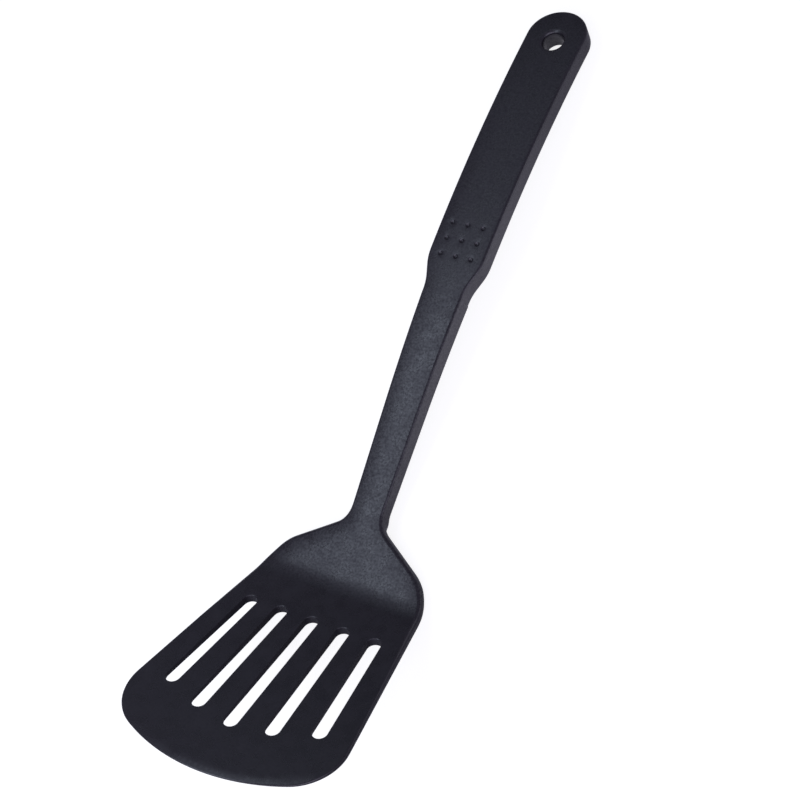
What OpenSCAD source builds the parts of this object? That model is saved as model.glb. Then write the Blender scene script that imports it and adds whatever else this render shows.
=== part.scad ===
// Slotted turner: a one-piece head with blade, shaft and tang, and a hollow two-part grip.
// All sizes are in millimetres.
// The pieces are drawn in the blade's frame: Y runs from the front edge to the grip, Z is square
// to the blade's upper face, and X = 0 is the plane of symmetry. lie_down() then turns the whole
// turner as it rests on a table, on its heel and on the end of its grip.

/* [Blade] */
// Front edge to the corner of the heel
blade_l = 93.6; // [80:0.2:110]
// Widest part of the blade
blade_w = 89.2; // [70:0.2:105]
// Thickness of the blade at its front edge
edge_t = 1.1; // [0.8:0.1:2]
// Thickness of the blade at the heel, and of the shoulder's wings
heel_t = 4.3; // [2.4:0.1:5]
// Radius of the curved front edge
front_r = 79; // [65:1:140]
// Radius of the front corners
corner_r = 19.4; // [8:0.2:22]
// How far each side draws in towards the heel, in degrees
side_lean = 9.1; // [4:0.1:12]
// Width of the bevel along the front edge
bevel_w = 2.2; // [0.5:0.1:3]
// Depth of the bevel along the front edge
bevel_h = 0.4; // [0.2:0.1:0.7]

/* [Slots] */
// Number of slots
slot_n = 5; // [3:2:5]
// Width of a slot
slot_w = 5.6; // [4.5:0.1:7]
// Front edge to the near ends of the slots, from the middle slot outwards
slot_near = [19.7, 22.4, 28]; // [15:0.1:34]
// Front edge to the far ends of the slots
slot_end = 75; // [60:0.1:77]
// Spacing of the slots at their near ends
slot_pitch = 15.6; // [11:0.1:17]
// Spacing of the slots at their far ends
slot_far_pitch = 13.15; // [10:0.05:15]

/* [Shoulder and shaft] */
// Angle of the shaft above the blade, in degrees
lift = 39.1; // [28:0.1:45]
// Radius of the front face in the heel
heel_r = 18.5; // [12:0.1:24]
// Radius under the heel
heel_back_r = 20; // [14:1:26]
// Corner of the heel to the neck, along the shaft
neck_up = 23.7; // [20:0.1:34]
// Width of the shaft at the neck
neck_w = 13.1; // [10:0.1:15]
// Depth of the shaft at the neck
neck_d = 7; // [5:0.1:8]
// Slope of the shoulder's edges, in degrees from square across
shoulder_slope = 27; // [22:0.5:34]
// Radius of the shoulder's corners
shoulder_r = 17; // [6:0.5:20]
// Radius of the fillet beside the neck
neck_r = 7; // [3:0.5:10]
// Corner of the heel to the start of the bow
shaft_l = 68.4; // [55:0.2:85]
// Radius of the front face in the bow, which takes the upper shaft and the grip gently back
bow_r = 532; // [400:1:900]
// Start of the bow to the joint between shaft and grip
joint_up = 44; // [34:0.5:54]

/* [Grip] */
// Joint to the end of the grip
grip_l = 128; // [116:0.2:140]
// Width of the grip at its round end
grip_w = 24.6; // [22.4:0.1:27]
// Width of the grip above the flare
low_w = 23.3; // [21:0.1:24]
// Depth of the grip, and of the shaft where they meet
grip_d = 8.5; // [7.6:0.1:10]
// Width of the shaft and the grip where they meet
joint_w = 16.8; // [15:0.1:18]
// Joint to the foot of the flare
flare_from = 3.7; // [3:0.1:8]
// Joint to the top of the flare
flare_to = 13.6; // [12:0.1:20]
// Radius of the curves in the flare
flare_r = 20; // [8:1:22]
// Size of the bevel round the grip's back
back_bevel = 1; // [0.6:0.1:1.9]

/* [Grip shells and tang] */
// Thickness of the grip's front cover
cover_t = 1.6; // [1.2:0.1:2.2]
// Thickness of the grip body's side walls
wall_t = 2; // [1.6:0.1:2.4]
// Thickness of the grip body's floor
floor_t = 2; // [1.6:0.1:2.2]
// Width of the tang
tang_w = 9.6; // [7:0.1:10.2]
// Thickness of the tang
tang_t = 3.6; // [2.8:0.1:3.8]
// Joint to the end of the tang
tang_l = 75; // [60:1:84]
// Diameter of the posts that pass through the tang
post_d = 4; // [3:0.1:5]
// Joint to the first post
post_up = 37; // [24:1:40]
// Spacing of the two posts
post_gap = 24; // [12:1:26]
// Height of the cover's locating lip
lip_h = 1.2; // [0.8:0.1:2]
// Thickness of the cover's locating lip
lip_t = 1.2; // [0.8:0.1:1.6]
// Clearance of each fit between the pieces, per side
fit_gap = 0.1; // [0.05:0.01:0.2]

/* [Hang hole] */
// Diameter of the hang hole
hole_d = 8.5; // [6:0.1:8.8]
// End of the grip to the middle of the hang hole
hole_in = 15; // [13:0.1:18]
// Land left round the chamfer at the end of the hang hole's sleeve
sleeve_edge = 0.5; // [0.3:0.1:0.6]
// Wall of the collar that holds the sleeve
collar_t = 1.6; // [1.2:0.1:1.7]
// Height of that collar above the floor
collar_h = 2; // [1:0.1:3]
// Chamfer at the front of the hang hole
rim = 1.4; // [0.4:0.1:1.5]
// Chamfer at the back of the hang hole
back_rim = 0.9; // [0.4:0.1:1.5]

/* [Grip dimples] */
// Rows and columns of dimples
dimple_n = 3; // [2:1:4]
// Spacing of the dimples
dimple_pitch = 6.5; // [4:0.1:6.6]
// Joint to the middle of the pattern
dimple_up = 22; // [20:0.1:50]
// Depth of a dimple
dimple_d = 0.6; // [0.3:0.1:0.8]
// Radius of the ball that forms a dimple
dimple_r = 1; // [0.8:0.05:1.1]

/* [Hidden] */
$fn = 48;
arc_step = 4;
bow_steps = 6;
bow_fn = 360;
over = 1;
spine_step = 0.4;
reach = blade_l + shaft_l + joint_up + grip_l;

// Plain geometry in two dimensions
function dir(a) = [cos(a), sin(a)];
function up(a) = [-sin(a), cos(a)];
function angle_of(v) = atan2(v.y, v.x);
function unit(v) = v / norm(v);
function meet(p, d, q, e) = p + d * cross(q - p, e) / cross(d, e);
function mirrored(points) = [for (k = [len(points) - 1:-1:0]) [-points[k].x, points[k].y]];
function both_sides(points) = concat(points, mirrored(points));
function arc(centre, r, from, to) =
    let (n = max(1, ceil(abs(to - from) / arc_step)))
    [for (k = [0:n]) centre + r * dir(from + (to - from) * k / n)];

// The arc of radius r that rounds a corner between two straight runs
function round_corner(before, corner, after, r) =
    let (
        a = unit(before - corner),
        b = unit(after - corner),
        half = acos(a * b) / 2,
        centre = corner + unit(a + b) * r / sin(half),
        from = angle_of(corner + a * r / tan(half) - centre),
        turn = sign(cross(-a, b)) * (180 - 2 * half)
    )
    arc(centre, r, from, from + turn);

// Corners of the front face in side view, as [Y, Z]
heel = [blade_l, 0];
bow_start = heel + shaft_l * dir(lift);
bow_centre = bow_start - bow_r * up(lift);
bow_turn = 180 / PI / bow_r;
function on_shaft(along, depth) = heel + along * dir(lift) - depth * up(lift);
function lift_at(along) = lift - (joint_up + along) * bow_turn;
function on_grip(along, depth) = bow_centre + (bow_r - depth) * up(lift_at(along));
function blade_back(y) = [y, -edge_t - (heel_t - edge_t) * y / blade_l];
blade_back_dir = unit(blade_back(blade_l) - blade_back(0));
heel_start = blade_l - heel_r * tan(lift / 2);
neck_y = on_shaft(neck_up, 0).x;
bow_y = bow_start.x;
joint_y = on_grip(0, 0).x;
end_up = grip_l - grip_w / 2;
hole_up = grip_l - hole_in;
sleeve_d = hole_d + 2 * (max(rim, back_rim) + sleeve_edge);

// Underside of the spine and the shaft, which deepens from the neck to the grip
function shaft_depth(along) =
    neck_d + (grip_d - neck_d) * (along - neck_up) / (shaft_l + joint_up - neck_up);
bow_back = on_shaft(shaft_l, shaft_depth(shaft_l));
shaft_back_dir = unit(bow_back - on_shaft(neck_up, neck_d));
spine_corner = meet(blade_back(0), blade_back_dir, bow_back, shaft_back_dir);
bow_parts = [for (k = [0:bow_steps]) joint_up * k / bow_steps];
head_side = concat(
    [[0, 0]],
    round_corner([0, 0], heel, bow_start, heel_r),
    [for (k = [0:bow_steps]) on_grip(bow_parts[k] - joint_up, 0)],
    [for (k = [bow_steps:-1:0]) on_grip(bow_parts[k] - joint_up, shaft_depth(shaft_l + bow_parts[k]))],
    round_corner(bow_back, spine_corner, blade_back(0), heel_back_r),
    [blade_back(0)]
);

// Space under the shoulder's wings, which keep the blade's thickness
wing_space = concat(
    arc([heel_start, heel_r], heel_r + heel_t, -90, lift - 90),
    [on_shaft(shaft_l, heel_t), on_shaft(shaft_l, reach), [heel_start, -reach]]
);

// Plan of the blade, shoulder and shaft, seen square to the blade
shaft_lean = (joint_w - neck_w) / 2 / (joint_y - neck_y);
function shaft_half(y) = neck_w / 2 + shaft_lean * (y - neck_y);
corner_x = blade_w / 2 - corner_r;
corner_y = front_r - sqrt(pow(front_r - corner_r, 2) - pow(corner_x, 2));
corner_turn = atan2(corner_x, front_r - corner_y);
side_from = [corner_x, corner_y] + corner_r * dir(side_lean);
neck = [shaft_half(neck_y), neck_y];
shoulder = meet(side_from, up(side_lean), neck, dir(-shoulder_slope));
shaft_top = [shaft_half(joint_y + 2 * grip_d), joint_y + 2 * grip_d];
head_plan = both_sides(concat(
    arc([0, front_r], front_r, -90, corner_turn - 90),
    arc([corner_x, corner_y], corner_r, corner_turn - 90, side_lean),
    round_corner(side_from, shoulder, neck, shoulder_r),
    round_corner(shoulder, neck, shaft_top, neck_r),
    [shaft_top]
));

// Plan of the grip's sides and round end, drawn inwards by inset, about the middle of that end
side_draw = (grip_w - low_w) / 2 / (end_up - flare_to);
function grip_half(along) = grip_w / 2 - side_draw * (end_up - along);
function grip_plan(inset) =
    let (low = -2 * grip_d)
    both_sides(concat(
        [[grip_half(low) - inset, low - end_up]],
        arc([0, 0], grip_w / 2 - inset, 0, 90)
    ));

// Plan of what the flare takes off beside the joint, drawn inwards by inset
function flare_space(inset) =
    let (
        low = [joint_w / 2 - inset, -2 * grip_d],
        foot = [joint_w / 2 - inset, flare_from],
        top = [grip_half(flare_to) - inset, flare_to],
        above = [grip_half(end_up) - inset, end_up],
        curve = concat(round_corner(low, foot, top, flare_r), round_corner(foot, top, above, flare_r)),
        last = curve[len(curve) - 1],
        out = last + unit(last - curve[len(curve) - 2]) * over
    )
    concat([low], curve, [out, [grip_w, out.y], [grip_w, low.y]]);

// Resting place: the line that touches the heel's underside and the back edge of the grip's end
heel_centre = spine_corner
    + unit(unit(bow_back - spine_corner) - blade_back_dir)
    * heel_back_r / cos((angle_of(shaft_back_dir) - angle_of(blade_back_dir)) / 2);
end_touch = on_grip(grip_l - back_bevel, grip_d);
heel_to_end = end_touch - heel_centre;
lie = angle_of(heel_to_end) + asin(heel_back_r / norm(heel_to_end));
rest_z = heel_back_r - heel_centre * up(lie);
front_y = blade_back(0) * dir(lie);
end_y = on_grip(grip_l, 0) * dir(lie);

module lie_down() {
    translate([0, -(front_y + end_y) / 2, rest_z]) rotate([-lie, 0, 0]) children();
}

// A place on the grip's front face, with Y along the grip and Z square to the face there
module at_grip(along) {
    place = on_grip(along, 0);
    translate([0, place.x, place.y]) rotate([lift_at(along), 0, 0]) children();
}

module from_side(points) {
    rotate([90, 0, 90]) linear_extrude(2 * reach, center = true) polygon(points);
}

module from_above(points) {
    linear_extrude(reach, center = true) polygon(points);
}

// What a shape of [distance from the bow's axis, X] sweeps along the bow
module along_bow(from, to) {
    translate([0, bow_centre.x, bow_centre.y]) rotate([90, 0, 90]) rotate(90 + lift_at(to))
        rotate_extrude(angle = (to - from) * bow_turn, $fn = bow_fn) children();
}

// A bowed bar between two depths
module bowed_bar(top, bottom, from, to, width) {
    along_bow(from, to) translate([bow_r - bottom, -width / 2]) square([bottom - top, width]);
}

// A layer of the grip above its flare, drawn in by inset, between two depths
module grip_layer(top, bottom, inset, from) {
    intersection() {
        bowed_bar(top, bottom, from, grip_l + over, 2 * grip_w);
        at_grip(end_up) from_above(grip_plan(inset));
    }
}

// A layer of the grip with its flare
module grip_slab(top, bottom, inset = 0, from = 0) {
    difference() {
        grip_layer(top, bottom, inset, from);
        at_grip(0) from_above(flare_space(inset));
        at_grip(0) from_above(mirrored(flare_space(inset)));
    }
}

module slot(i) {
    near = [i * slot_pitch, slot_near[abs(i)]];
    far = [i * slot_far_pitch, slot_end];
    lean = angle_of(far - near);
    inset = slot_w / 2;
    a = near + inset * dir(lean);
    b = far - inset * dir(lean);
    from_above(concat(arc(a, inset, lean + 90, lean + 270), arc(b, inset, lean - 90, lean + 90)));
}

module front_bevel() {
    slope = [bevel_w, -bevel_h];
    edge = [front_r, -bevel_h];
    translate([0, front_r, 0]) rotate_extrude()
        polygon([edge - 2 * slope, edge + 2 * slope, edge + [front_r, bevel_h]]);
}

// What is cut away beside the spine, under each wing of the shoulder
module wing_spaces() {
    y = [heel_start - over, bow_y];
    inner = [for (k = y) [shaft_half(k) + spine_step, k]];
    side = concat(inner, [[blade_w, y[1]], [blade_w, y[0]]]);
    intersection() {
        from_side(wing_space);
        union() {
            from_above(side);
            from_above(mirrored(side));
        }
    }
}

module tang() {
    root = -2 * grip_d;
    intersection() {
        bowed_bar(cover_t, cover_t + tang_t, root, tang_l + over, 2 * tang_w);
        at_grip(tang_l - tang_w / 2) from_above(both_sides(concat(
            [[tang_w / 2, root - tang_l]],
            arc([0, 0], tang_w / 2, 0, 90)
        )));
    }
}

// Upright round bars where the posts stand, between two depths
module at_posts(d, top, bottom) {
    for (k = [0, 1]) {
        at_grip(post_up + k * post_gap) translate([0, 0, -bottom]) cylinder(d = d, h = bottom - top);
    }
}

module at_hole(d, top, bottom) {
    at_grip(hole_up) translate([0, 0, -bottom]) cylinder(d = d, h = bottom - top);
}

module rim_cone(size) {
    translate([0, 0, -size]) cylinder(r1 = hole_d / 2, r2 = hole_d / 2 + size + over, h = size + over);
}

// Takes the bevel off the long back edges of the grip and off the back edge of its round end
module back_bevels() {
    cut = [
        [grip_w / 2 - back_bevel - over, -grip_d - over],
        [grip_w / 2 + over, over + back_bevel - grip_d],
        [grip_w / 2 + over, -grip_d - over]
    ];
    for (side = [-1, 1]) {
        along_bow(0, end_up) polygon([for (p = cut) [bow_r + p.y, side * p.x]]);
    }
    at_grip(end_up) rotate_extrude(angle = 180) polygon(cut);
}

module turner_head() {
    color("#26262b") lie_down() difference() {
        union() {
            intersection() {
                from_side(head_side);
                from_above(head_plan);
            }
            tang();
        }
        wing_spaces();
        front_bevel();
        for (k = [0:slot_n - 1]) slot(k - (slot_n - 1) / 2);
        at_posts(post_d + 2 * fit_gap, 0, grip_d);
    }
}

module grip_body() {
    floor_depth = grip_d - floor_t;
    bed_depth = cover_t + tang_t;
    sunk = floor_t / 2;
    color("#1f1f23") lie_down() difference() {
        union() {
            difference() {
                union() {
                    difference() {
                        grip_slab(cover_t, grip_d);
                        back_bevels();
                        grip_slab(cover_t - over, floor_depth, wall_t, wall_t);
                    }
                    bowed_bar(bed_depth - sunk, floor_depth + sunk, wall_t / 2, tang_l, tang_w);
                }
                bowed_bar(cover_t - over, bed_depth, -over, tang_l + over, tang_w + 2 * fit_gap);
            }
            at_posts(post_d, cover_t, floor_depth + sunk);
            at_hole(sleeve_d + 2 * (fit_gap + collar_t), floor_depth - collar_h, floor_depth + sunk);
        }
        at_hole(sleeve_d + 2 * fit_gap, 0, grip_d + over);
    }
}

module grip_cover() {
    lip_inset = wall_t + fit_gap;
    lip_from = flare_to + flare_r / 2;
    lip_end = cover_t + lip_h;
    middle = (dimple_n - 1) / 2;
    color("#1f1f23") lie_down() difference() {
        union() {
            grip_slab(0, cover_t);
            difference() {
                grip_layer(cover_t / 2, lip_end, lip_inset, lip_from);
                grip_layer(0, lip_end + over, lip_inset + lip_t, lip_from - over);
            }
            at_hole(sleeve_d, cover_t / 2, grip_d);
        }
        for (i = [0:dimple_n - 1], j = [0:dimple_n - 1]) {
            at_grip(dimple_up + (j - middle) * dimple_pitch)
                translate([(i - middle) * dimple_pitch, 0, dimple_r - dimple_d]) sphere(r = dimple_r);
        }
        at_hole(hole_d, -over, grip_d + over);
        at_grip(hole_up) rim_cone(rim);
        at_grip(hole_up) translate([0, 0, -grip_d]) mirror([0, 0, 1]) rim_cone(back_rim);
    }
}

turner_head();
grip_body();
grip_cover();
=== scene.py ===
import math

import bmesh
import bpy
import numpy as np
from mathutils import Matrix, Vector
from mathutils.geometry import delaunay_2d_cdt


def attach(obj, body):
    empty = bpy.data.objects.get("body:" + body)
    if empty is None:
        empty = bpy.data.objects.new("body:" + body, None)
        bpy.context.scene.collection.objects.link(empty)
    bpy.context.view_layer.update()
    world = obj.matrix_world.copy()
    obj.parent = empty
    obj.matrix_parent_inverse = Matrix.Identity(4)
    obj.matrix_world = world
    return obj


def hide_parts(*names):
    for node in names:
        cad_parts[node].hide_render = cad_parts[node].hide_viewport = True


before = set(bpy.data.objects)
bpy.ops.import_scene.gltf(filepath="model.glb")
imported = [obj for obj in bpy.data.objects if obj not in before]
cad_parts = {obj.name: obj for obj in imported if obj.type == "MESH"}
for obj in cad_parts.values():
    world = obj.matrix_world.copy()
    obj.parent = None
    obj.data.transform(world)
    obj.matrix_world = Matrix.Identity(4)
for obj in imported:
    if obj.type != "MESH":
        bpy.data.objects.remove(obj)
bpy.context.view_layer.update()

# Sizes are millimetres in the blade's frame, as in the part; the row frame is in metres.
mm = 0.001

# Side view of the front face: flat blade, heel, straight shaft, then one long bow to the grip's end
side = {
    "bladeLength": 93.6,
    "edgeThickness": 1.1,
    "heelThickness": 4.3,
    "lift": math.radians(39.1),
    "heelRadius": 18.5,
    "heelBackRadius": 20.0,
    "neckUp": 23.7,
    "neckDepth": 7.0,
    "shaftLength": 68.4,
    "bowRadius": 532.0,
    "jointUp": 44.0,
    "gripLength": 128.0,
    "gripDepth": 8.5,
    "backBevel": 1.0,
}


def along(angle):
    return np.array([math.cos(angle), math.sin(angle)])


def square(angle):
    return np.array([-math.sin(angle), math.cos(angle)])


def cross(a, b):
    return a[0] * b[1] - a[1] * b[0]


def meet(p, d, q, e):
    return p + d * cross(q - p, e) / cross(d, e)


def unit(v):
    return v / np.linalg.norm(v)


heelTangent = side["heelRadius"] * math.tan(side["lift"] / 2)
heelStart = side["bladeLength"] - heelTangent
heelEnd = heelStart + side["heelRadius"] * side["lift"]
bowStart = heelEnd + side["shaftLength"] - heelTangent
jointPlace = bowStart + side["jointUp"]
gripEnd = jointPlace + side["gripLength"]
heelCorner = np.array([side["bladeLength"], 0.0])
bowPoint = heelCorner + side["shaftLength"] * along(side["lift"])
bowCentre = bowPoint - side["bowRadius"] * square(side["lift"])


# Place and slope of the front face at a distance along it from the blade's front edge
def frontAt(s):
    if s <= heelStart:
        return np.array([s, 0.0]), 0.0
    if s <= heelEnd:
        angle = (s - heelStart) / side["heelRadius"]
        return np.array([heelStart, side["heelRadius"]]) - side["heelRadius"] * square(angle), angle
    if s <= bowStart:
        return bowPoint - (bowStart - s) * along(side["lift"]), side["lift"]
    angle = side["lift"] - (s - bowStart) / side["bowRadius"]
    return bowCentre + side["bowRadius"] * square(angle), angle


# Distance along the front face to a place given by its plan distance y from the front edge
def alongFromPlan(y):
    if y <= heelStart:
        return y
    if y <= frontAt(heelEnd)[0][0]:
        return heelStart + side["heelRadius"] * math.asin((y - heelStart) / side["heelRadius"])
    if y <= bowPoint[0]:
        return bowStart - (bowPoint[0] - y) / math.cos(side["lift"])
    angle = math.asin((bowCentre[0] - y) / side["bowRadius"])
    return bowStart + (side["lift"] - angle) * side["bowRadius"]


def shaftDepth(up):
    reach = side["shaftLength"] + side["jointUp"] - side["neckUp"]
    return side["neckDepth"] + (side["gripDepth"] - side["neckDepth"]) * (up - side["neckUp"]) / reach


def onShaft(up, depth):
    return heelCorner + up * along(side["lift"]) - depth * square(side["lift"])


# Underside of the spine, and how the turner lies on its heel and on the end of its grip
bladeBack = np.array([0.0, -side["edgeThickness"]])
bladeBackWay = unit(np.array([side["bladeLength"], side["edgeThickness"] - side["heelThickness"]]))
bowBack = onShaft(side["shaftLength"], shaftDepth(side["shaftLength"]))
shaftBackWay = unit(bowBack - onShaft(side["neckUp"], side["neckDepth"]))
spineCorner = meet(bladeBack, bladeBackWay, bowBack, shaftBackWay)
heelTurn = math.acos(float(bladeBackWay @ shaftBackWay))
heelCentre = spineCorner + unit(shaftBackWay - bladeBackWay) * side["heelBackRadius"] / math.cos(heelTurn / 2)
endPoint, endAngle = frontAt(gripEnd - side["backBevel"])
restLine = endPoint - side["gripDepth"] * square(endAngle) - heelCentre
lie = math.atan2(restLine[1], restLine[0]) + math.asin(side["heelBackRadius"] / np.linalg.norm(restLine))
restHeight = side["heelBackRadius"] - float(heelCentre @ square(lie))
middle = float((bladeBack + frontAt(gripEnd)[0]) @ along(lie)) / 2


# A point across the face, along it and below it, in the row frame
def place(x, s, depth):
    point, angle = frontAt(s)
    point = point - depth * square(angle)
    return (x * mm, (float(point @ along(lie)) - middle) * mm, (float(point @ square(lie)) + restHeight) * mm)


# Depth of the spine's underside, square to the front face
def spineDepth(s):
    point, angle = frontAt(s)
    if s >= bowStart:
        return shaftDepth(side["shaftLength"] + s - bowStart)
    down = -square(angle)
    deepest = []
    for start, way in ((bladeBack, bladeBackWay), (bowBack, shaftBackWay)):
        deepest.append(cross(start - point, way) / cross(down, way))
    flat = min(deepest) if heelStart < s < heelEnd else deepest[0] if s <= heelStart else deepest[1]
    offset = heelCentre - point
    near = float(offset @ down)
    reach = side["heelBackRadius"] ** 2 - (float(offset @ offset) - near ** 2)
    touch = near + math.sqrt(max(reach, 0.0))
    onArc = point + touch * down - heelCentre
    turned = math.atan2(onArc[0], -onArc[1])
    slack = 0.05
    return touch if reach > 0 and -slack < turned < heelTurn + slack else flat


print("side view: lies at %.2f degrees" % math.degrees(lie))


# Outlines are lists of (across, along) in millimetres
def arc(centre, radius, start, end, step):
    count = max(2, math.ceil(radius * abs(end - start) / step))
    return [np.array(centre) + radius * along(start + (end - start) * k / count) for k in range(count + 1)]


def roundCorner(before, corner, after, radius, step):
    a = unit(before - corner)
    b = unit(after - corner)
    half = math.acos(float(a @ b)) / 2
    centre = corner + unit(a + b) * radius / math.sin(half)
    first = corner + a * radius / math.tan(half) - centre
    start = math.atan2(first[1], first[0])
    turn = math.copysign(math.pi - 2 * half, cross(-a, b))
    return arc(centre, radius, start, start + turn, step)


def evenly(points, step):
    points = np.array(points)
    gaps = np.linalg.norm(np.diff(points, axis=0), axis=1)
    keep = np.concatenate([[True], gaps > 1e-6])
    points = points[keep]
    run = np.concatenate([[0], np.cumsum(np.linalg.norm(np.diff(points, axis=0), axis=1))])
    places = np.linspace(0, run[-1], max(2, math.ceil(run[-1] / step)) + 1)
    return np.stack([np.interp(places, run, points[:, k]) for k in (0, 1)], axis=1)


# Both sides of a half outline that runs from the middle of the front to the joint on the right
def bothSides(half):
    left = half[1:] * np.array([-1.0, 1.0])
    return np.concatenate([half[::-1], left])


def ringRound(centre, radius, count):
    turns = np.arange(count) * 2 * math.pi / count
    return np.array(centre) + radius * np.stack([np.cos(turns), np.sin(turns)], axis=1)


# Unit vectors that point from each point of an outline into the material
def inwards(outline, closed):
    if closed:
        run = np.roll(outline, -1, axis=0) - np.roll(outline, 1, axis=0)
    else:
        run = np.gradient(outline, axis=0)
    into = np.stack([run[:, 1], -run[:, 0]], axis=1)
    into /= np.linalg.norm(into, axis=1)[:, None]
    if not closed:
        into[0] = (-math.copysign(1.0, outline[0][0]), 0.0)
        into[-1] = -into[0]
    return into


# A body under construction holds points (across, along, depth) and faces
def newBody():
    return {"points": [], "faces": []}


def addRing(body, flat, depths):
    first = len(body["points"])
    body["points"] += [(float(x), float(s), float(d)) for (x, s), d in zip(flat, depths)]
    return list(range(first, len(body["points"])))


def stitch(body, a, b, closed):
    count = len(a)
    for k in range(count if closed else count - 1):
        n = (k + 1) % count
        body["faces"].append((a[k], a[n], b[n], b[k]))


# The rings of a rolled edge, from the front face round to the back face
def rollEdge(body, outline, closed, top, bottom, frontRadius, backRadius, steps=5):
    into = inwards(outline, closed)
    hold = 0.12  # a narrow flat rim that keeps the shading of the faces clean
    wallFrom = 1.25  # the plain wall begins this many radii below the face
    quarter = [math.pi / 2 * k / steps for k in range(steps + 1)]
    rings = []

    def ring(inset, radius, share, surface, sign):
        flat = outline + into * inset[:, None]
        depths = np.array([surface(x, s) for x, s in flat]) + sign * radius * share
        rings.append(addRing(body, flat, depths))

    count = len(outline)
    front = np.broadcast_to(np.asarray(frontRadius, dtype=float), (count,))
    back = np.broadcast_to(np.asarray(backRadius, dtype=float), (count,))
    ring(front + hold, front, 0.0, top, 1)
    for turn in reversed(quarter):
        ring(front * (1 - math.cos(turn)), front, 1 - math.sin(turn), top, 1)
    ring(np.zeros(count), front, wallFrom, top, 1)
    ring(np.zeros(count), back, wallFrom, bottom, -1)
    for turn in quarter:
        ring(back * (1 - math.cos(turn)), back, 1 - math.sin(turn), bottom, -1)
    ring(back + hold, back, 0.0, bottom, -1)
    for a, b in zip(rings, rings[1:]):
        stitch(body, a, b, closed)
    return rings


def insideOf(points, loops):
    inside = np.zeros(len(points), dtype=bool)
    for loop in loops:
        ends = np.roll(loop, -1, axis=0)
        for (ax, ay), (bx, by) in zip(loop, ends):
            if ay == by:
                continue
            spans = (ay > points[:, 1]) != (by > points[:, 1])
            inside ^= spans & (points[:, 0] < (bx - ax) * (points[:, 1] - ay) / (by - ay) + ax)
    return inside


# Fills the area between loops of a body's points with triangles over a grid
def fillArea(body, loops, rows, gap, surface, extra=()):
    rimClearance = 0.55
    flats = [np.array([body["points"][i][:2] for i in loop]) for loop in loops]
    rim = np.concatenate(flats)
    widest = np.abs(rim[:, 0]).max()
    columns = np.arange(-math.floor(widest / gap), math.floor(widest / gap) + 1) * gap
    grid = [(x, s) for s in rows for x in columns] + list(extra)
    grid = np.array(grid) if grid else np.zeros((0, 2))
    if len(grid):
        grid = grid[insideOf(grid, flats)]
        clear = np.array([np.min(np.hypot(*(rim - p).T)) for p in grid]) if len(grid) else np.zeros(0)
        grid = grid[clear > rimClearance]
    ids = [i for loop in loops for i in loop]
    ids += addRing(body, grid, [surface(x, s) for x, s in grid])
    edges = []
    first = 0
    for loop in loops:
        edges += [(first + k, first + (k + 1) % len(loop)) for k in range(len(loop))]
        first += len(loop)
    flat = [Vector(p) for p in np.concatenate([rim, grid])]
    _, _, triangles, origins, _, _ = delaunay_2d_cdt(flat, edges, [], 0, 1e-7)
    triangles = np.array([[origins[i][0] for i in t] for t in triangles])
    corners = np.concatenate([rim, grid])[triangles]
    areas = np.abs(np.cross(corners[:, 1] - corners[:, 0], corners[:, 2] - corners[:, 0]))
    kept = triangles[(areas > 1e-7) & insideOf(corners.mean(axis=1), flats)]
    body["faces"] += [tuple(ids[i] for i in t) for t in kept]


# Points across the end of a face that is open at the joint
def acrossEnd(body, rim, surface):
    x0, s0, _ = body["points"][rim[0]]
    x1, s1, _ = body["points"][rim[-1]]
    shares = [k / 8 for k in range(1, 8)]
    flat = [(x0 + (x1 - x0) * k, s0 + (s1 - s0) * k) for k in shares]
    return addRing(body, flat, [surface(x, s) for x, s in flat])


# Caps the end at the joint and returns the closed rims of the front and the back face
def closeEnd(body, rings, front, back):
    frontRow = acrossEnd(body, rings[0], front)
    backRow = acrossEnd(body, rings[-1], back)
    right = [r[0] for r in rings]
    left = [r[-1] for r in rings]
    body["faces"].append(tuple(right + backRow + left[::-1] + frontRow[::-1]))
    return rings[0] + frontRow[::-1], rings[-1] + backRow[::-1]


# Smooth shading, with creases where faces meet at a steep angle
def shadeSmooth(mesh):
    mesh.polygons.foreach_set("use_smooth", [True] * len(mesh.polygons))
    mesh.set_sharp_from_angle(angle=math.radians(38))


def makeObject(name, body):
    mesh = bpy.data.meshes.new(name)
    mesh.from_pydata([place(*p) for p in body["points"]], [], body["faces"])
    work = bmesh.new()
    work.from_mesh(mesh)
    bmesh.ops.delete(work, geom=[v for v in work.verts if not v.link_faces], context="VERTS")
    bmesh.ops.recalc_face_normals(work, faces=work.faces)
    work.to_mesh(mesh)
    work.free()
    shadeSmooth(mesh)
    made = bpy.data.objects.new(name, mesh)
    bpy.context.collection.objects.link(made)
    return made


# A plain slab between two depths, with square edges and holes
def slab(name, outline, holes, top, bottom):
    body = newBody()
    upper = []
    lower = []
    for loop in [outline] + holes:
        a = addRing(body, loop, [top] * len(loop))
        b = addRing(body, loop, [bottom] * len(loop))
        stitch(body, a, b, True)
        upper.append(a)
        lower.append(b)
    gap = 4.0
    rows = np.arange(outline[:, 1].min() + gap / 2, outline[:, 1].max(), gap)
    fillArea(body, upper, rows, gap, lambda x, s: top)
    fillArea(body, lower, rows, gap, lambda x, s: bottom)
    return makeObject(name, body)


# A long box's outline, along the middle of the grip
def boxLoop(half, start, end):
    corners = ((half, start), (half, end), (-half, end), (-half, start), (half, start))
    return evenly(corners, 1.5)[:-1]


def cutAway(target, cutters):
    for cutter in cutters:
        cut = target.modifiers.new("cut", "BOOLEAN")
        cut.operation = "DIFFERENCE"
        cut.solver = "EXACT"
        cut.object = cutter
    result = target.evaluated_get(bpy.context.evaluated_depsgraph_get())
    shaped = bpy.data.meshes.new_from_object(result)
    target.modifiers.clear()
    target.data = shaped
    for cutter in cutters:
        bpy.data.objects.remove(cutter)


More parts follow.
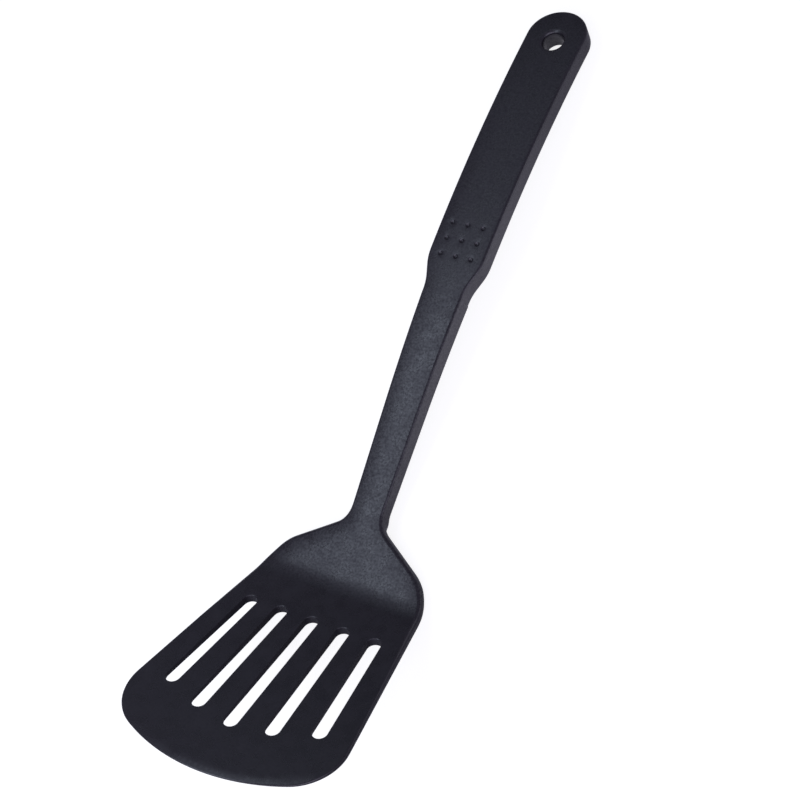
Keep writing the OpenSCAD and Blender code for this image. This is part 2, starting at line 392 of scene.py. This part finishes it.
def joinInto(target, others):
    work = bmesh.new()
    work.from_mesh(target.data)
    for other in others:
        work.from_mesh(other.data)
        bpy.data.objects.remove(other)
    work.to_mesh(target.data)
    work.free()


rollWidth = 8.0


# Front faces roll off a little towards their edges
def sag(x, s, outline, slope):
    inside = min(np.hypot(*(outline - (x, s)).T).min(), rollWidth)
    return slope * (rollWidth - inside) ** 2 / (2 * rollWidth)


# Head: blade with slots, shoulder, spine and shaft, with the tang beyond the joint
head = {
    "bladeWidth": 89.18,
    "frontRadius": 79.0,
    "cornerRadius": 19.4,
    "sideLean": math.radians(9.1),
    "bevelWidth": 2.2,
    "bevelDepth": 0.4,
    "bevelReach": 40.0,
    "slotWidth": 5.6,
    "slotNear": (19.7, 22.4, 28.0),
    "slotEnd": 75.0,
    "slotPitch": 15.6,
    "slotFarPitch": 13.15,
    "neckWidth": 13.1,
    "jointWidth": 16.8,
    "shoulderSlope": math.radians(27),
    "shoulderRadius": 17.0,
    "neckRadius": 7.0,
    "spineStep": 0.4,
    "spineFlank": 1.2,
    "spineClear": 0.02,
    # By millimetres along the face: slope of the roll-off at the edge, and radius of the edge
    "rollSlopes": ((88, 0.0), (96, 0.14), (102, 0.22), (110, 0.22), (122, 0.1)),
    "edgeRounds": ((60, 0.8), (95, 1.8), (108, 1.8), (122, 0.8)),
    "backRound": 0.6,
    "slotRound": 0.3,
    "slotBackRound": 0.6,
    "tangWidth": 9.6,
    "tangTop": 1.6,
    "tangThickness": 3.6,
    "tangLength": 75.0,
    "postPlaces": (37.0, 61.0),
    "postDiameter": 4.0,
    "fitGap": 0.1,
    "seam": 0.015,
}
neckPlan = onShaft(side["neckUp"], 0)[0]
jointPlan = frontAt(jointPlace)[0][0]
shaftLean = (head["jointWidth"] - head["neckWidth"]) / 2 / (jointPlan - neckPlan)


def shaftHalf(y):
    return head["neckWidth"] / 2 + shaftLean * (y - neckPlan)


def headHalf():
    step = 0.5
    cornerX = head["bladeWidth"] / 2 - head["cornerRadius"]
    inner = head["frontRadius"] - head["cornerRadius"]
    cornerY = head["frontRadius"] - math.sqrt(inner ** 2 - cornerX ** 2)
    turn = math.atan2(cornerX, head["frontRadius"] - cornerY)
    lean = head["sideLean"]
    sideFrom = np.array([cornerX, cornerY]) + head["cornerRadius"] * along(lean)
    neck = np.array([shaftHalf(neckPlan), neckPlan])
    shoulder = meet(sideFrom, square(lean), neck, along(-head["shoulderSlope"]))
    top = np.array([shaftHalf(jointPlan), jointPlan])
    right = arc((0, head["frontRadius"]), head["frontRadius"], -math.pi / 2, turn - math.pi / 2, step)
    right += arc((cornerX, cornerY), head["cornerRadius"], turn - math.pi / 2, lean, step)
    right += roundCorner(sideFrom, shoulder, neck, head["shoulderRadius"], step)
    right += roundCorner(shoulder, neck, top, head["neckRadius"], step)
    right = evenly(right + [top], 0.4)
    half = np.array([(x, alongFromPlan(y)) for x, y in right])
    half[-1, 1] = jointPlace - head["seam"]
    return evenly(half, 0.8)


def slotLoop(i):
    near = np.array([i * head["slotPitch"], head["slotNear"][abs(i)]])
    far = np.array([i * head["slotFarPitch"], head["slotEnd"]])
    way = unit(far - near)
    lean = math.atan2(way[1], way[0])
    r = head["slotWidth"] / 2
    low = arc(near + r * way, r, lean + math.pi / 2, lean + 1.5 * math.pi, 0.4)
    high = arc(far - r * way, r, lean - math.pi / 2, lean + math.pi / 2, 0.4)
    return evenly(low + high + low[:1], 0.6)[:-1]


def bladeDepth(s):
    share = min(s, heelStart) / side["bladeLength"]
    turned = min(1.0, max(0.0, (s - heelStart) / (heelEnd - heelStart)))
    share += (1 - heelStart / side["bladeLength"]) * turned
    return side["edgeThickness"] + (side["heelThickness"] - side["edgeThickness"]) * share


headOutline = bothSides(headHalf())


def headFront(x, s):
    if s < head["bevelReach"]:
        out = math.hypot(x, s - head["frontRadius"]) - head["frontRadius"] + head["bevelWidth"]
        return max(0.0, out) * head["bevelDepth"] / head["bevelWidth"]
    slope = np.interp(s, *zip(*head["rollSlopes"]))
    return sag(x, s, headOutline, slope) if slope > 0 else 0.0


spineTable = np.arange(heelStart - 30, jointPlace + 1, 0.5)
spineDepths = np.array([spineDepth(s) for s in spineTable])


def headBack(x, s):
    wing = bladeDepth(s)
    if s < spineTable[0]:
        return wing
    spine = max(wing, float(np.interp(s, spineTable, spineDepths)) - head["spineClear"])
    edge = shaftHalf(frontAt(s)[0][0]) + head["spineStep"]
    share = min(1.0, max(0.0, (edge + head["spineFlank"] - abs(x)) / head["spineFlank"]))
    return wing + (spine - wing) * share * share * (3 - 2 * share)


def buildHead():
    body = newBody()
    depths = np.array([headBack(x, s) - headFront(x, s) for x, s in headOutline])
    soft = np.interp(headOutline[:, 1], *zip(*head["edgeRounds"]))
    most = 0.4 * depths  # the roundings leave some plain wall between them
    rounds = np.minimum(soft, most)
    backRounds = np.minimum(head["backRound"], most)
    rings = rollEdge(body, headOutline, False, headFront, headBack, rounds, backRounds)
    frontRim, backRim = closeEnd(body, rings, headFront, headBack)
    fronts = [frontRim]
    backs = [backRim]
    for i in range(-2, 3):
        loop = slotLoop(i)
        edge = rollEdge(body, loop, True, headFront, headBack, head["slotRound"], head["slotBackRound"], 4)
        fronts.append(edge[0])
        backs.append(edge[-1])
    gap = 2.2
    rows = np.concatenate([
        np.arange(2, heelStart - 1, gap),
        np.arange(heelStart - 0.7, heelEnd + 0.7, 0.7),
        np.arange(heelEnd + 1.5, jointPlace - 1, 1.8),
    ])
    turns = np.radians(np.arange(-112, -67.5, 0.6))
    bevelRadius = head["frontRadius"] - head["bevelWidth"]
    bevel = [(0, head["frontRadius"]) + bevelRadius * along(t) for t in turns]
    fillArea(body, fronts, rows, gap, headFront, bevel)
    flank = []
    for s in np.arange(heelStart - 6, heelEnd + 26, 0.7):
        edge = shaftHalf(frontAt(s)[0][0]) + head["spineStep"]
        for k in range(6):
            flank += [(sign * (edge + head["spineFlank"] * k / 5), s) for sign in (-1, 1)]
    fillArea(body, backs, rows, gap, headBack, flank)
    return makeObject("turnerHead", body)


def buildTang():
    half = head["tangWidth"] / 2
    root = jointPlace - 1.0
    right = np.array([half, root])
    left = np.array([-half, root])
    end = arc((0, jointPlace + (head["tangLength"] - half)), half, 0, math.pi, 0.5)
    outline = evenly([left, right] + end + [left], 0.8)[:-1]
    bore = head["postDiameter"] / 2 + head["fitGap"]
    holes = [ringRound((0, jointPlace + p), bore, 32) for p in head["postPlaces"]]
    return slab("tang", outline, holes, head["tangTop"], head["tangTop"] + head["tangThickness"])


turnerHead = buildHead()
joinInto(turnerHead, [buildTang()])
print("head: %d points" % len(turnerHead.data.vertices))

# Grip: a cover in front and a hollow body behind, bowed together
grip = {
    "endWidth": 24.6,
    "lowWidth": 23.3,
    "flareFrom": 3.7,
    "flareTo": 13.6,
    "flareRadius": 20.0,
    "coverThickness": 1.6,
    "edgeRound": 0.8,
    "rollSlope": 0.1,
    "seamRound": 0.06,
    "seam": 0.015,
    "backRound": 1.1,
    "wall": 2.0,
    "floor": 2.0,
    "holeRadius": 4.25,
    "holeIn": 15.0,
    "rimRound": 1.4,
    "backRimRound": 0.9,
    "sleeveRadius": 6.15,
    "sleeveGap": 0.1,
    "collar": 1.6,
    "mouthRound": 0.05,
    "mouthBackRound": 0.12,
    "dimplePitch": 6.5,
    "dimpleUp": 22.0,
    "dimpleDepth": 0.6,
    "dimpleRadius": 1.0,
}
gripStart = jointPlace + grip["seam"]
holePlace = (0.0, gripEnd - grip["holeIn"])


def gripHalf(inset=0.0):
    endMiddle = gripEnd - grip["endWidth"] / 2
    low = np.array([head["jointWidth"] / 2 - inset, gripStart])
    foot = np.array([head["jointWidth"] / 2 - inset, jointPlace + grip["flareFrom"]])
    top = np.array([grip["lowWidth"] / 2 - inset, jointPlace + grip["flareTo"]])
    last = np.array([grip["endWidth"] / 2 - inset, endMiddle])
    half = arc((0, endMiddle), grip["endWidth"] / 2 - inset, math.pi / 2, 0, 0.4)
    half += roundCorner(last, top, foot, grip["flareRadius"], 0.4)
    half += roundCorner(top, foot, low, grip["flareRadius"], 0.4)
    return evenly(half + [low], 0.7)


def gripOutline(inset=0.0):
    return bothSides(gripHalf(inset))[::-1]


def buildCover():
    body = newBody()
    thickness = grip["coverThickness"] - grip["seam"]
    outline = gripOutline()
    face = lambda x, s: sag(x, s, outline, grip["rollSlope"])
    flatBottom = lambda x, s: thickness
    rings = rollEdge(body, outline, False, face, flatBottom, grip["edgeRound"], grip["seamRound"])
    frontRim, backRim = closeEnd(body, rings, face, flatBottom)
    fronts = [frontRim]
    backs = [backRim]
    # The hang hole's sleeve: rolled rim, bore, rim at the back, and the sleeve's outside
    bore = ringRound(holePlace, grip["holeRadius"], 64)
    deep = lambda x, s: side["gripDepth"]
    hole = rollEdge(body, bore, True, face, deep, grip["rimRound"], grip["backRimRound"])
    fronts.append(hole[0])
    shell = ringRound(holePlace, grip["sleeveRadius"], 64)
    foot = addRing(body, shell, [side["gripDepth"]] * len(shell))
    root = addRing(body, shell, [thickness] * len(shell))
    stitch(body, hole[-1], foot, True)
    stitch(body, foot, root, True)
    backs.append(root)
    dimples = []
    for i in (-1, 0, 1):
        for j in (-1, 0, 1):
            spot = (i * grip["dimplePitch"], jointPlace + grip["dimpleUp"] + j * grip["dimplePitch"])
            dimples.append(buildDimple(body, spot, face))
    gap = 2.0
    rows = np.arange(gripStart + 1, gripEnd, gap)
    fillArea(body, fronts + dimples, rows, gap, face)
    fillArea(body, backs, rows, gap, flatBottom)
    return makeObject("gripCover", body)


# A dimple with a softened lip; returns its ring on the grip's face
def buildDimple(body, spot, face):
    r = grip["dimpleRadius"]
    raised = r - grip["dimpleDepth"]
    mouth = math.sqrt(r ** 2 - raised ** 2)
    around = 24
    steps = [(mouth + 0.16, 0.0), (mouth + 0.03, 0.03)]  # the lip
    for k in range(6):
        radius = (mouth - 0.07) * math.cos(math.pi / 2 * k / 6)
        steps.append((radius, math.sqrt(r ** 2 - radius ** 2) - raised))
    rings = []
    for radius, depth in steps:
        flat = ringRound(spot, radius, around)
        rings.append(addRing(body, flat, [face(x, s) + depth for x, s in flat]))
    for a, b in zip(rings, rings[1:]):
        stitch(body, a, b, True)
    lowest = addRing(body, [spot], [face(*spot) + grip["dimpleDepth"]])[0]
    last = rings[-1]
    body["faces"] += [(last[k], last[(k + 1) % around], lowest) for k in range(around)]
    return rings[0]


def buildBody():
    body = newBody()
    upper = grip["coverThickness"] + grip["seam"]
    deep = side["gripDepth"]
    flatTop = lambda x, s: upper
    flatBottom = lambda x, s: deep
    outline = gripOutline()
    rings = rollEdge(body, outline, False, flatTop, flatBottom, grip["seamRound"], grip["backRound"], 8)
    frontRim, backRim = closeEnd(body, rings, flatTop, flatBottom)
    mouth = ringRound(holePlace, grip["sleeveRadius"] + grip["sleeveGap"], 64)
    hole = rollEdge(body, mouth, True, flatTop, flatBottom, grip["mouthRound"], grip["mouthBackRound"], 2)
    gap = 2.4
    rows = np.arange(gripStart + 1, gripEnd, gap)
    fillArea(body, [frontRim, hole[0]], rows, gap, flatTop)
    fillArea(body, [backRim, hole[-1]], rows, gap, flatBottom)
    made = makeObject("gripBody", body)
    # Hollow round the tang's bed and the collar, with a channel for the tang and its posts. The cutters
    # reach past the body, each to its own height so that no two faces coincide.
    hollowTo = deep - grip["floor"]
    inner = gripOutline(grip["wall"])
    inner = inner[inner[:, 1] > gripStart + grip["wall"]]
    bedHalf = head["tangWidth"] / 2
    bedTo = jointPlace + head["tangLength"]
    bedDepth = head["tangTop"] + head["tangThickness"]
    bed = boxLoop(bedHalf, gripStart + grip["wall"] + 1.0, bedTo)
    collar = ringRound(holePlace, grip["sleeveRadius"] + grip["sleeveGap"] + grip["collar"], 64)
    hollow = slab("hollow", inner, [bed, collar], upper - 1.0, hollowTo)
    channel = boxLoop(bedHalf + head["fitGap"], jointPlace - 2.0, bedTo + 1.0)
    cutAway(made, [hollow, slab("channel", channel, [], upper - 1.2, bedDepth + 0.02)])
    posts = []
    for up in head["postPlaces"]:
        ring = ringRound((0, jointPlace + up), head["postDiameter"] / 2, 32)
        posts.append(slab("post", ring, [], upper + 0.1, hollowTo))
    joinInto(made, posts)
    shadeSmooth(made.data)
    return made


gripCover = buildCover()
gripBody = buildBody()
print("grip: %d points" % (len(gripCover.data.vertices) + len(gripBody.data.vertices)))


# Materials: a hex colour to linear, and one helper for nodes
def colour(code):
    parts = [int(code[k:k + 2], 16) / 255 for k in (1, 3, 5)]
    return [c / 12.92 if c <= 0.04045 else ((c + 0.055) / 1.055) ** 2.4 for c in parts] + [1.0]


# Settings are properties of the node, the stops of its ramp, or values of its sockets by name or number
def addNode(tree, kind, settings=None, links=None):
    node = tree.nodes.new(kind)
    for key, value in (settings or {}).items():
        if key == "stops":
            stops = node.color_ramp.elements
            while len(stops) < len(value):
                stops.new(0.5)
            for stop, (position, level) in zip(stops, value):
                stop.position = position
                stop.color = (level, level, level, 1.0)
        elif isinstance(key, str) and hasattr(node, key):
            setattr(node, key, value)
        else:
            node.inputs[key].default_value = value
    for key, source in (links or {}).items():
        tree.links.new(source, node.inputs[key])
    return node


def newMaterial(name):
    material = bpy.data.materials.new(name)
    material.use_nodes = True
    material.node_tree.nodes.clear()
    return material


def perMetre(sizeMm):
    return 1.0 / (sizeMm * mm)


# Moulded nylon, black. The mould's fine grain breaks a dim satin sheen up into flecks, fainter on the blade,
# and tint and sheen vary faintly in patches. Less sheen on the blade's steep walls is painted shade, no
# property of nylon: it is there to match the photograph, and it goes by how the surface faces in the scene.
nylonLook = {
    "dark": "#1e1c21",
    "light": "#252329",
    "ior": 1.53,
    "roughness": 0.28,
    "rougher": (-0.04, 0.06),  # from the smoothest to the roughest patch
    "specular": 0.5,
    # Painted shade: the blade's steep walls keep only this share of the sheen
    "shineLeftInPaintedShade": 0.3,  # share of the sheen that is left on the blade's walls
    "steep": (0.15, 0.6),  # how far a surface faces up, from walls to faces
    "shaftFrom": (-0.08, -0.045),  # metres along the row
    "bladeFleck": 0.2,  # share of the flecks that is left on the blade
    "bladeTo": (-0.09, -0.075),  # metres along the row
    "grain": 0.8,  # real mould grain is near 0.2 mm and would not show, so it is drawn coarser
    "bumpHeight": 0.02,
}
headLook = {**nylonLook, "fleck": 0.47, "bump": 0.35, "patch": 6.0}
gripLook = {**nylonLook, "fleck": 0.3, "bump": 0.3, "patch": 5.0}


def mouldedNylon(name, look):
    material = newMaterial(name)
    tree = material.node_tree
    where = addNode(tree, "ShaderNodeTexCoord").outputs["Object"]
    spot = addNode(tree, "ShaderNodeSeparateXYZ", None, {"Vector": where})
    grain = addNode(tree, "ShaderNodeTexNoise", {
        "Scale": perMetre(look["grain"]), "Detail": 3.0,
    }, {"Vector": where})
    patches = addNode(tree, "ShaderNodeTexNoise", {
        "Scale": perMetre(look["patch"]), "Detail": 4.0,
    }, {"Vector": where})
    sheen = addNode(tree, "ShaderNodeMapRange", {
        "From Min": 0.35, "From Max": 0.7,
        "To Min": look["roughness"] + look["rougher"][0],
        "To Max": look["roughness"] + look["rougher"][1],
    }, {"Value": patches.outputs["Fac"]})
    # Of a mix, sockets 6 and 7 are the two colours and output 2 is the mixed one
    tint = addNode(tree, "ShaderNodeMix", {
        "data_type": "RGBA", 6: colour(look["dark"]), 7: colour(look["light"]),
    }, {"Factor": patches.outputs["Fac"]})
    bump = addNode(tree, "ShaderNodeBump", {
        "Strength": look["bump"], "Distance": look["bumpHeight"] * mm,
    }, {"Height": grain.outputs["Fac"]})
    # Painted shade: less sheen on the blade's steep walls, by how far a surface faces up in the scene, except
    # along the shaft and the grip
    normal = addNode(tree, "ShaderNodeNewGeometry").outputs["Normal"]
    facing = addNode(tree, "ShaderNodeSeparateXYZ", None, {"Vector": normal})
    level = addNode(tree, "ShaderNodeMath", {"operation": "ABSOLUTE"}, {0: facing.outputs["Z"]})
    upward = addNode(tree, "ShaderNodeMapRange", {
        "From Min": look["steep"][0], "From Max": look["steep"][1],
    }, {"Value": level.outputs[0]})
    shaft = addNode(tree, "ShaderNodeMapRange", {
        "From Min": look["shaftFrom"][0], "From Max": look["shaftFrom"][1],
    }, {"Value": spot.outputs["Y"]})
    either = addNode(tree, "ShaderNodeMath", {"operation": "MAXIMUM"}, {
        0: upward.outputs["Result"], 1: shaft.outputs["Result"],
    })
    gloss = addNode(tree, "ShaderNodeMapRange", {
        "To Min": look["specular"] * look["shineLeftInPaintedShade"], "To Max": look["specular"],
    }, {"Value": either.outputs[0]})
    # Flecks in the sheen, fainter on the blade
    fleck = addNode(tree, "ShaderNodeMapRange", {
        "From Min": 0.3, "From Max": 0.7, "To Min": -1.0, "To Max": 1.0,
    }, {"Value": grain.outputs["Fac"]})
    amount = addNode(tree, "ShaderNodeMapRange", {
        "From Min": look["bladeTo"][0], "From Max": look["bladeTo"][1],
        "To Min": look["fleck"] * look["bladeFleck"], "To Max": look["fleck"],
    }, {"Value": spot.outputs["Y"]})
    change = addNode(tree, "ShaderNodeMath", {"operation": "MULTIPLY_ADD", 2: 1.0}, {
        0: fleck.outputs["Result"], 1: amount.outputs["Result"],
    })
    # The flecked sheen, with the painted shade on the blade's walls
    fleckedSheenWithPaintedShade = addNode(tree, "ShaderNodeMath", {"operation": "MULTIPLY"}, {
        0: gloss.outputs["Result"], 1: change.outputs[0],
    })
    surface = addNode(tree, "ShaderNodeBsdfPrincipled", {"IOR": look["ior"]}, {
        "Specular IOR Level": fleckedSheenWithPaintedShade.outputs[0],
        "Base Color": tint.outputs[2],
        "Roughness": sheen.outputs["Result"],
        "Normal": bump.outputs["Normal"],
    })
    addNode(tree, "ShaderNodeOutputMaterial", None, {"Surface": surface.outputs["BSDF"]})
    return material


headNylon = mouldedNylon("mouldedNylonHead", headLook)
gripNylon = mouldedNylon("mouldedNylonGrip", gripLook)
for piece, material, node, slotName in (
    (turnerHead, headNylon, "turner_head", "head_nylon"),
    (gripBody, gripNylon, "grip_body", "grip_nylon"),
    (gripCover, gripNylon, "grip_cover", "grip_nylon"),
):
    piece.data.materials.clear()
    piece.data.materials.append(material)
    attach(piece, "root")
    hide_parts(node)
print("materials done")


# A flat sheet for the stage
def addSheet(name, corners, material):
    mesh = bpy.data.meshes.new(name)
    mesh.from_pydata(corners, [], [range(len(corners))])
    mesh.materials.append(material)
    made = bpy.data.objects.new(name, mesh)
    bpy.context.collection.objects.link(made)
    return made


# A level that changes along one axis, from pairs of a place in metres and the level there
def levelAlong(tree, pairs, source):
    first = pairs[0][0]
    last = pairs[-1][0]
    stops = [((spot - first) / (last - first), level) for spot, level in pairs]
    run = addNode(tree, "ShaderNodeMapRange", {"From Min": first, "From Max": last}, {"Value": source})
    ramp = addNode(tree, "ShaderNodeValToRGB", {"stops": stops}, {"Fac": run.outputs["Result"]})
    return ramp.outputs["Color"]


# Floor: white to the eye, and partly lit so that the shadow stays. In the nylon's sheen it is a dimmer
# painted reflection, whose brightness and tint are set by place
floor = {
    "reach": 15.0,
    "paper": "#9c9c9c",
    "glow": 0.86,
    # Tint of the painted reflection that the nylon's sheen sees in the floor
    "tintOfPaintedReflection": (0.93, 0.91, 1.06, 1.0),
    # Painted reflection and shade: how bright the sheen mirrors it, by metres along the row, and a factor by
    # metres across it
    "mirrored": ((-0.1, 0.04), (-0.065, 0.14), (-0.045, 0.33), (-0.01, 0.5), (0.03, 0.54), (0.07, 0.48),
                 (0.12, 0.28), (0.142, 0.26), (0.158, 0.1), (0.2, 0.06)),
    "across": ((-0.008, 1.0), (-0.004, 2.3), (0.004, 2.3), (0.008, 1.0), (0.022, 1.0), (0.04, 2.1)),
}


def whitePaper():
    material = newMaterial("paper")
    tree = material.node_tree
    path = addNode(tree, "ShaderNodeLightPath")
    where = addNode(tree, "ShaderNodeTexCoord").outputs["Object"]
    spot = addNode(tree, "ShaderNodeSeparateXYZ", None, {"Vector": where})
    # Painted reflection: the floor's brightness in glossy rays is set by place, not by the light on it
    sheen = addNode(tree, "ShaderNodeMath", {"operation": "MULTIPLY"}, {
        0: levelAlong(tree, floor["mirrored"], spot.outputs["Y"]),
        1: levelAlong(tree, floor["across"], spot.outputs["X"]),
    })
    mirrored = addNode(tree, "ShaderNodeMath", {"operation": "MULTIPLY"}, {
        0: path.outputs["Is Glossy Ray"], 1: sheen.outputs[0],
    })
    seen = addNode(tree, "ShaderNodeMath", {"operation": "MAXIMUM"}, {
        0: path.outputs["Is Camera Ray"], 1: mirrored.outputs[0],
    })
    pale = [floor["glow"]] * 3 + [1.0]
    # Glossy rays see the painted reflection's tint, the camera sees the pale floor
    shade = addNode(tree, "ShaderNodeMix", {"data_type": "RGBA", 6: floor["tintOfPaintedReflection"], 7: pale}, {
        "Factor": path.outputs["Is Camera Ray"],
    })
    glow = addNode(tree, "ShaderNodeEmission", None, {"Strength": seen.outputs[0], "Color": shade.outputs[2]})
    lit = addNode(tree, "ShaderNodeBsdfDiffuse", {"Color": colour(floor["paper"])})
    both = addNode(tree, "ShaderNodeAddShader", None, {0: lit.outputs[0], 1: glow.outputs[0]})
    addNode(tree, "ShaderNodeOutputMaterial", None, {"Surface": both.outputs[0]})
    return material


reach = floor["reach"]
floorCorners = [(-reach, -reach, 0), (reach, -reach, 0), (reach, reach, 0), (-reach, reach, 0)]
floorObject = addSheet("floor", floorCorners, whitePaper())
print("floor done")

# Light: a dim grey room with a soft window low on the right, and a broad card up to the left
room = {
    "left": 0.2,
    "right": 0.24,
    "tint": (0.96, 0.92, 1.2, 1.0),
    "window": (0.68, -0.7, 0.22),  # the way to it
    "windowFrom": 0.5,
    "windowGlow": 1.7,
}


def lightRoom():
    world = bpy.data.worlds.new("room")
    bpy.context.scene.world = world
    world.use_nodes = True
    tree = world.node_tree
    tree.nodes.clear()
    path = addNode(tree, "ShaderNodeLightPath")
    way = addNode(tree, "ShaderNodeTexCoord").outputs["Generated"]
    toward = addNode(tree, "ShaderNodeSeparateXYZ", None, {"Vector": way})
    dim = addNode(tree, "ShaderNodeMapRange", {
        "From Min": -1.0, "From Max": 1.0, "To Min": room["left"], "To Max": room["right"],
    }, {"Value": toward.outputs["X"]})
    near = addNode(tree, "ShaderNodeVectorMath", {"operation": "DOT_PRODUCT", 1: room["window"]}, {0: way})
    window = addNode(tree, "ShaderNodeMapRange", {
        "interpolation_type": "SMOOTHSTEP",
        "From Min": room["windowFrom"], "From Max": 1.0, "To Max": room["windowGlow"],
    }, {"Value": near.outputs["Value"]})
    whole = addNode(tree, "ShaderNodeMath", {"operation": "ADD"}, {
        0: dim.outputs["Result"], 1: window.outputs["Result"],
    })
    # White where the camera sees it
    level = addNode(tree, "ShaderNodeMath", {"operation": "MAXIMUM"}, {
        0: whole.outputs[0], 1: path.outputs["Is Camera Ray"],
    })
    air = addNode(tree, "ShaderNodeBackground", {"Color": room["tint"]}, {"Strength": level.outputs[0]})
    addNode(tree, "ShaderNodeOutputWorld", None, {"Surface": air.outputs[0]})


lightRoom()

# The card lies along the turner, bright over blade and shaft and fading towards the grip
card = {
    "height": 0.36,  # metres, as are the corners and the places of the fade
    "corners": ((-0.24, -0.7), (-0.24, 0.33), (-0.6, 0.45), (-0.6, 0.9), (-0.08, 0.9), (-0.08, -0.7)),
    "strength": 1.64,
    "tint": (0.89, 0.98, 1.18, 1.0),
    "fade": ((-0.7, 0.0), (-0.58, 2.4), (-0.42, 3.2), (-0.28, 1.7), (-0.16, 1.1), (-0.08, 1.1),
             (0.0, 1.1), (0.05, 1.25), (0.08, 1.04), (0.12, 0.62), (0.16, 0.48), (0.2, 0.4),
             (0.28, 0.28), (0.36, 0.26), (0.45, 0.15), (0.6, 0.1), (0.85, 0.0)),
}


def glowingSilk():
    material = newMaterial("silk")
    tree = material.node_tree
    where = addNode(tree, "ShaderNodeTexCoord").outputs["Object"]
    spot = addNode(tree, "ShaderNodeSeparateXYZ", None, {"Vector": where})
    power = addNode(tree, "ShaderNodeMath", {"operation": "MULTIPLY", 1: card["strength"]}, {
        0: levelAlong(tree, card["fade"], spot.outputs["Y"]),
    })
    shine = addNode(tree, "ShaderNodeEmission", {"Color": card["tint"]}, {"Strength": power.outputs[0]})
    addNode(tree, "ShaderNodeOutputMaterial", None, {"Surface": shine.outputs[0]})
    return material


cardObject = addSheet("lightCard", [(x, y, card["height"]) for x, y in card["corners"]], glowingSilk())
cardObject.visible_camera = False
cardObject.visible_shadow = False
print("light done")

# Camera: the place and turn from which the photograph was taken
camera = {
    "place": (0.313544, -0.146395, 0.590340),
    "right": (0.850558, 0.365202, -0.378389),
    "up": (-0.236674, 0.908380, 0.344718),
    "lens": 82.0849,
}
cameraData = bpy.data.cameras.new("camera")
cameraData.sensor_width = 36.0
cameraData.lens = camera["lens"]
cameraObject = bpy.data.objects.new("camera", cameraData)
bpy.context.collection.objects.link(cameraObject)
right = Vector(camera["right"]).normalized()
back = right.cross(Vector(camera["up"])).normalized()
turn = Matrix((right, back.cross(right), back)).transposed().to_4x4()
cameraObject.matrix_world = Matrix.Translation(Vector(camera["place"])) @ turn
bpy.context.scene.camera = cameraObject
bpy.context.scene.view_settings.view_transform = "Standard"
print("camera done")
